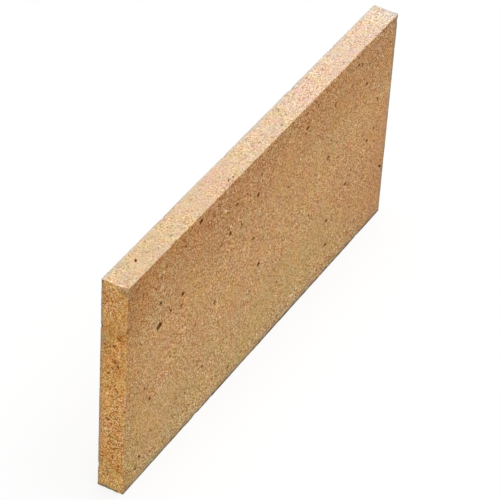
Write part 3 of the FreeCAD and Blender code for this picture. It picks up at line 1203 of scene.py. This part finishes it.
class ClaySheet(NodeSheet):
    """The nodes of the fired clay, laid in the brick's own coordinates."""

    def __init__(self, tree: bpy.types.NodeTree, clay: FiredClay, half: Vector, centre: Vector) -> None:
        """Adds the coordinates, and tells the narrow sides and the ends from the big faces.

        Args:
            tree: The material's node tree.
            clay: The finish.
            half: Half of the brick's sizes.
            centre: The brick's centre.
        """
        super().__init__(tree)
        self.clay = clay
        self.half = half
        self.place = self.add("ShaderNodeTexCoord", {}).outputs["Object"]
        self.run, _, self.height = self.add("ShaderNodeSeparateXYZ", {0: self.place}).outputs
        rise = self.math("ABSOLUTE", self.minus(self.height, centre.z))
        reach = self.math("ABSOLUTE", self.minus(self.run, centre.x))
        self.narrow = self.span(rise, clay.narrow_side, offset=half.z)
        self.ends = self.times(self.span(reach, clay.end_side, offset=half.x), self.minus(1.0, self.narrow))
        self.along = self.span(self.run, Fade(-half.x, half.x))
        self.share = self.math("DIVIDE", self.height, 2 * half.z)
        self.loose = self.loosened()

    def noise(self, size: float, detail: float, roughness: float = 0.5, output: str = "Fac") -> Socket:
        """Adds a noise whose lumps have about the given size.

        Args:
            size: The size of the lumps.
            detail: How many finer layers are added.
            roughness: How strong the finer layers are.
            output: The node's output that is used.

        Returns:
            The noise from 0 to 1.
        """
        inputs = {"Vector": self.place, "Scale": 1 / size, "Detail": detail, "Roughness": roughness}
        return self.add("ShaderNodeTexNoise", inputs, noise_dimensions="3D").outputs[output]

    def mottled(self, mottle: Mottle) -> Socket:
        """Adds soft patches."""
        return self.span(self.noise(mottle.size, mottle.detail, mottle.roughness), mottle.fade)

    def cells(self, place: Given, size: float) -> bpy.types.Node:
        """Adds a field of scattered cells about the given size apart.

        Args:
            place: The coordinates.
            size: The distance between the cells.

        Returns:
            The Voronoi node, with its Distance and Color outputs.
        """
        inputs = {"Vector": place, "Scale": 1 / size}
        return self.add("ShaderNodeTexVoronoi", inputs, feature="F1", voronoi_dimensions="3D")

    def own_values(self, cells: bpy.types.Node) -> bpy.types.Node:
        """Splits the colour of each cell, which is its own, into three values."""
        return self.add("ShaderNodeSeparateColor", {0: cells.outputs["Color"]})

    def loosened(self) -> Socket:
        """Shifts the coordinates a little, so that cells laid in them have ragged outlines.

        Returns:
            The shifted coordinates.
        """
        wander = self.noise(self.clay.loose_size, SMOOTH_DETAIL, output="Color")
        centred = self.vector("SUBTRACT", wander, (0.5, 0.5, 0.5))
        return self.vector("MULTIPLY_ADD", centred, (self.clay.loose_swing,) * 3, self.place)

    def ground(self) -> Socket:
        """Builds the ground colour of each side, with its slow changes.

        Returns:
            The colour of the bare clay.
        """
        clay = self.clay
        tall = 2 * self.half.z
        near, far = -self.half.x, self.half.x
        drift = self.times(self.minus(self.noise(clay.drift_size, SMOOTH_DETAIL), 0.5), clay.drift_swing)
        level = self.plus(self.height, drift)
        # Painted light down the big faces: shade towards the top and bounce light towards the foot, with
        # some kiln flashing
        colour = self.blend(self.span(level, clay.middle_heights, tall), clay.low, clay.middle)
        colour = self.blend(self.span(level, clay.flash_and_shade_heights, tall), colour, clay.flash_and_shade)
        colour = self.tint(self.span(self.run, clay.near_run, offset=near), colour, clay.near_tint)
        upper = self.times(self.span(self.run, clay.near_top_run, offset=near),
                           self.span(level, clay.near_top_heights, tall))
        colour = self.tint(upper, colour, clay.near_top_tint)
        lower = self.times(self.span(self.run, Fade(clay.far_low_start, far)),
                           self.span(level, clay.far_low_heights, tall))
        colour = self.tint(lower, colour, clay.far_low_tint)
        colour = self.blend(self.ends, colour, clay.end_orange)
        foot = self.times(self.ends, self.span(self.height, clay.end_foot))
        colour = self.tint(foot, colour, clay.end_foot_tint)
        head = self.times(self.ends, self.span(self.height, clay.end_head, offset=tall))
        colour = self.tint(head, colour, clay.end_head_tint)
        # Painted light on the narrow sides: paler towards the far end, and a catch light along the near
        # end's arris
        pale = self.blend(self.along, clay.narrow_near, clay.narrow_far)
        pale = self.blend(self.span(self.run, clay.tip_run, offset=far), pale, clay.narrow_tip)
        pale = self.blend(self.span(self.run, clay.brink_highlight_run, offset=near), pale, clay.narrow_brink_highlight)
        return self.blend(self.narrow, colour, pale)

    def tinted(self, colour: Given) -> Socket:
        """Lays soft patches on the clay, most of all on the ends, where some are brown.

        Args:
            colour: The clay's colour so far.

        Returns:
            The colour with pink, olive, yellow and ashen patches.
        """
        clay = self.clay
        share = self.plus(clay.tint_share, self.times(self.ends, clay.end_tint_share))
        for size, strength, first, second in (
            (34 * MM, 0.3, clay.olive_tint, clay.pink_tint),
            (11 * MM, share, clay.olive_tint, clay.pink_tint),
            (5 * MM, 0.16, clay.olive_tint, clay.pink_tint),
            (26 * MM, 0.36, clay.yellow_tint, clay.ashen_tint),
            (9.5 * MM, share, clay.yellow_tint, clay.ashen_tint),
        ):
            patches = self.blend(self.mottled(Mottle(size, 1.0, 0.4)), first, second)
            colour = self.tint(strength, colour, patches)
        brown = self.times(self.mottled(clay.brown_patches), self.ends)
        return self.tint(brown, colour, clay.end_blotch)

    def coarseness(self) -> Socket:
        """Works out how strongly the grains stand out: most of all near the foot and the head.

        Returns:
            The strength, about 1.
        """
        clay = self.clay
        strength = self.mottled(clay.coarse_patches)
        strength = self.plus(strength, self.span(self.share, clay.foot_coarseness))
        strength = self.plus(strength, self.span(self.share, clay.head_coarseness))
        strength = self.minus(strength, self.times(self.ends, clay.end_fineness))
        return self.minus(strength, self.times(self.narrow, clay.narrow_fineness))

    def grained(self, colour: Given) -> Socket:
        """Gives each grain its own lightness, and the gaps between coarser grains some shade.

        The lightness is added to the colour as the eye sees it, so that no grain turns redder or
        bluer than the lean in red, green and blue makes it.

        Args:
            colour: The clay's colour so far.

        Returns:
            The colour with its grains.
        """
        clay = self.clay
        own = self.own_values(self.cells(self.loose, clay.grain_size))
        swing = self.minus(self.times(own.outputs[0], 2.0), 1.0)
        size = self.math("ABSOLUTE", swing)
        swing = self.times(self.minus(swing, self.times(size, clay.grain_evenness)), size)
        packed = self.minus(clay.gap_middle, self.cells(self.place, clay.gap_size).outputs["Distance"])
        swing = self.plus(self.times(swing, clay.grain_swing), self.times(packed, clay.gap_swing))
        lift = self.add("ShaderNodeVectorMath", {
            0: self.blend(self.narrow, clay.grain_lean, clay.narrow_lean),
            "Scale": self.times(swing, self.coarseness()),
        }, operation="SCALE").outputs[0]
        seen = self.add("ShaderNodeGamma", {"Color": colour, "Gamma": 1 / clay.eye_gamma}).outputs[0]
        lifted = self.vector("ADD", seen, lift)
        return self.add("ShaderNodeGamma", {"Color": lifted, "Gamma": clay.eye_gamma}).outputs[0]

    def speckled(self, colour: Given) -> Socket:
        """Scatters pale grog grains and dark iron spots, with more spots at the head and the foot.

        Args:
            colour: The clay's colour so far.

        Returns:
            The colour with its specks.
        """
        clay = self.clay
        many = self.plus(self.span(self.share, clay.head_spots), self.span(self.share, clay.foot_spots))
        many = self.plus(many, self.times(self.along, clay.far_spots))
        limit = self.minus(clay.spot_limit, many)
        for size, strength in clay.specks:
            cells = self.cells(self.loose, size)
            own = self.own_values(cells).outputs
            core = self.span(cells.outputs["Distance"], clay.speck_core)
            pale = self.times(core, self.math("GREATER_THAN", own[0], clay.grog_limit))
            dark = self.times(core, self.math("GREATER_THAN", own[1], limit))
            colour = self.blend(self.times(pale, strength), colour, clay.grog)
            colour = self.blend(self.times(dark, strength), colour, clay.spot)
        return colour

    def field(self, name: str) -> Socket:
        """Reads one of the fields that the relief left on the mesh."""
        return self.add("ShaderNodeAttribute", {}, attribute_name=name).outputs["Fac"]

    def rim(self, name: str, ragged: Socket, fade: Fade) -> Socket:
        """Puts a mark's field through a fade, with a ragged rim.

        Args:
            name: The field.
            ragged: The noise that frays the rim, about 0.
            fade: The fade.

        Returns:
            The share of the mark's colour.
        """
        field = self.field(name)
        frayed = self.plus(field, self.times(ragged, self.span(field, self.clay.field_rim)))
        return self.span(frayed, fade)

    def marked(self, colour: Given) -> Socket:
        """Colours the rubbed arrises, the broken skin, the pale grains, the pits and the dirt.

        Args:
            colour: The clay's colour so far.

        Returns:
            The colour with its marks.
        """
        clay = self.clay
        ragged = self.minus(self.noise(clay.rim_size, FINE_DETAIL, FINE_ROUGHNESS), 0.5)
        worn, skin, film_and_shade = (self.field(name) for name in ("worn", "skin", "film_and_shade"))
        # The arrises: rubbed paler, partly a painted catch light
        colour = self.blend(self.times(worn, clay.rubbed_highlight_share), colour, clay.rubbed_and_highlight)
        colour = self.blend(self.math("MAXIMUM", skin, 0.0), colour, clay.fresh)
        # The painted shade in the spall's hollow
        colour = self.blend(self.math("MAXIMUM", self.times(skin, -1.0), 0.0), colour, clay.spall_shade)
        paleness = self.minus(clay.grain_paleness, self.times(self.ends, clay.end_grain_loss))
        paleness = self.times(self.rim("pale", ragged, clay.grain_rim), paleness)
        colour = self.blend(paleness, colour, clay.grog)
        # Pits: dark clay with a painted shade that deepens with their depth
        darkness = self.times(self.rim("pit", ragged, clay.pit_rim), self.field("tone"))
        colour = self.blend(darkness, colour, clay.pit_floor)
        # The grey film, which is painted shade along the foot and on the far upright arris of the front
        film_and_shade_colour = self.blend(self.narrow, clay.film, clay.haze)
        colour = self.blend(self.times(film_and_shade, self.mottled(clay.uneven_film)), colour, film_and_shade_colour)
        return self.shaded_lines(colour, ragged, self.times(worn, film_and_shade))

    def shaded_lines(self, colour: Given, ragged: Socket, arris_film_and_shade: Socket) -> Socket:
        """Draws the broken dark line along the filmed arrises, partly soot and partly painted shade, and
        the painted contact shadow along the foot.

        Both are fainter near the near end. The first is strongest at the bottom and weaker on the
        top and bottom sides, and the second is weaker on the ends.

        Args:
            colour: The clay's colour so far.
            ragged: The noise that frays the foot line, about 0.
            arris_film_and_shade: How worn the arris is and how much film and painted shade it has.

        Returns:
            The colour with its soot and painted shade.
        """
        clay = self.clay
        clean = self.span(self.along, clay.clean_run)
        line = self.times(self.times(arris_film_and_shade, self.mottled(clay.arris_dashes)), clean)
        strength = self.minus(self.span(self.height, clay.arris_shade_and_soot),
                              self.times(self.narrow, clay.narrow_line_loss))
        colour = self.blend(self.math("MULTIPLY", line, strength, clamp=True), colour, clay.shade_and_soot)
        broken = self.times(self.mottled(clay.foot_shadow_dashes), clean)
        broken = self.times(broken, self.minus(1.0, self.times(self.ends, clay.end_foot_loss)))
        foot = self.plus(self.height, self.times(ragged, clay.foot_swing))
        # The painted contact shadow along the foot, broken into dashes
        return self.blend(self.times(self.span(foot, clay.foot_shadow_line), broken), colour, clay.shade_and_soot)

    def grain_bump(self) -> Socket:
        """Raises the fine grain that is too small for the mesh.

        Returns:
            The bumped normal.
        """
        clay = self.clay
        grains = self.cells(self.loose, clay.bump_cell).outputs["Distance"]
        coarse = self.noise(clay.bump_size, FINE_DETAIL, FINE_ROUGHNESS)
        height = self.minus(coarse, self.times(grains, clay.bump_cell_share))
        inputs = {"Strength": 1.0, "Distance": clay.bump_height, "Height": height}
        return self.add("ShaderNodeBump", inputs).outputs["Normal"]


@dataclass(frozen=True)
class SoftLamp:
    """A square soft lamp that the camera doesn't see. Its size is its side, its power is in watts."""

    name: str
    place: Vector
    size: float
    power: float

    def hang(self, target: Vector) -> None:
        """Hangs the lamp and points it at the target."""
        data = bpy.data.lights.new(self.name, "AREA")
        data.size = self.size
        data.energy = self.power
        lamp = bpy.data.objects.new(self.name, data)
        lamp.location = self.place
        lamp.rotation_euler = (target - self.place).to_track_quat("-Z", "Y").to_euler()
        lamp.visible_camera = False
        bpy.context.scene.collection.objects.link(lamp)


@dataclass(frozen=True)
class Studio:
    """A plain white floor, a soft overhead lamp and two soft fills."""

    target: Vector = Vector((0, 0, 0.1))
    lamps: tuple[SoftLamp, ...] = (
        SoftLamp("overhead_softbox", Vector((0.35, -0.2, 1.9)), 1.5, 28.5),
        SoftLamp("front_fill", Vector((-0.3, -1.6, 0.5)), 1.2, 1.5),
        SoftLamp("end_fill", Vector((-1.8, 0.0, 0.6)), 1.2, 7.0),
    )
    floor_reach: float = 12.0
    floor_colour: Colour = (0.85, 0.85, 0.85, 1)
    floor_glow: float = 1.04
    floor_glow_share: float = 0.81
    world_strength: float = 0.45

    def build(self) -> None:
        """Makes the floor, the world and the lamps."""
        self.floor()
        self.world()
        for lamp in self.lamps:
            lamp.hang(self.target)

    def floor(self) -> None:
        """Lays the floor, which the camera sees as white and which keeps the brick's shadow."""
        mesh = bmesh.new()
        bmesh.ops.create_grid(mesh, x_segments=1, y_segments=1, size=self.floor_reach)
        floor = link_mesh(mesh, "floor")
        material = bpy.data.materials.new("white_floor")
        material.use_nodes = True
        sheet = NodeSheet(material.node_tree)
        paper = sheet.add("ShaderNodeBsdfDiffuse", {"Color": self.floor_colour})
        glow = sheet.add("ShaderNodeEmission", {"Strength": self.floor_glow})
        share = sheet.times(self.seen(sheet), self.floor_glow_share)
        mix = sheet.add("ShaderNodeMixShader", {"Fac": share, 1: paper.outputs[0], 2: glow.outputs[0]})
        sheet.add("ShaderNodeOutputMaterial", {"Surface": mix.outputs[0]})
        floor.data.materials.append(material)

    def seen(self, sheet: NodeSheet) -> Socket:
        """Tells the rays by which the backdrop is seen from those that light the brick.

        Args:
            sheet: The nodes to add to.

        Returns:
            1 for camera, glossy and transmission rays, and 0 for the others.
        """
        path = sheet.add("ShaderNodeLightPath", {}).outputs
        shiny = sheet.plus(path["Is Glossy Ray"], path["Is Transmission Ray"])
        return sheet.math("ADD", path["Is Camera Ray"], shiny, clamp=True)

    def world(self) -> None:
        """Makes the world a plain soft light that the camera sees as white."""
        world = bpy.data.worlds.new("studio_world")
        bpy.context.scene.world = world
        world.use_nodes = True
        sheet = NodeSheet(world.node_tree)
        strength = sheet.span(self.seen(sheet), Fade(0.0, 1.0, self.world_strength, 1.0))
        light = sheet.add("ShaderNodeBackground", {"Strength": strength})
        sheet.add("ShaderNodeOutputWorld", {"Surface": light.outputs[0]})


@dataclass(frozen=True)
class PhotoCamera:
    """The camera that the photo was taken with, fitted to the brick's visible corners and outline."""

    eye: Vector = Vector((-1.661, -0.8774, 1.6683))
    azimuth_degrees: float = 62.10
    elevation_degrees: float = 39.78
    roll_degrees: float = 3.65
    lens_mm: float = 201.2
    sensor_mm: float = 36.0
    farthest: float = 60.0

    def build(self) -> None:
        """Sets the camera up and makes it the scene's."""
        azimuth = math.radians(self.azimuth_degrees)
        elevation = math.radians(self.elevation_degrees)
        forward = Vector((
            math.sin(azimuth) * math.cos(elevation),
            math.cos(azimuth) * math.cos(elevation),
            -math.sin(elevation),
        ))
        level = forward.cross(Vector((0, 0, 1))).normalized()
        turn = Matrix.Rotation(-math.radians(self.roll_degrees), 3, forward)
        right = turn @ level
        up = right.cross(forward)
        pose = Matrix((right, up, -forward)).transposed().to_4x4()
        pose.translation = self.eye
        data = bpy.data.cameras.new("photo_camera")
        data.lens = self.lens_mm
        data.sensor_width = self.sensor_mm
        data.clip_end = self.farthest
        camera = bpy.data.objects.new("photo_camera", data)
        camera.matrix_world = pose
        bpy.context.scene.collection.objects.link(camera)
        bpy.context.scene.camera = camera


def main() -> None:
    """Builds the camera, the studio and the dressed brick, in that order."""
    logging.basicConfig(level=logging.INFO, format="%(name)s: %(message)s")
    bpy.context.scene.view_settings.view_transform = "Standard"
    PhotoCamera().build()
    Studio().build()
    low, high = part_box(BRICK_NODE)
    tile = FirebrickTile(low, high)
    brick = tile.build()
    FiredClay().dress(brick, tile.half, tile.centre)
    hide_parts(BRICK_NODE)
    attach(brick, ROOT_BODY)
    triangles = sum(len(face.vertices) - 2 for face in brick.data.polygons)
    log.info("%s: %d triangles, %d pits", brick.name, triangles, len(tile.relief.pits))


if __name__ == "__main__":
    main()
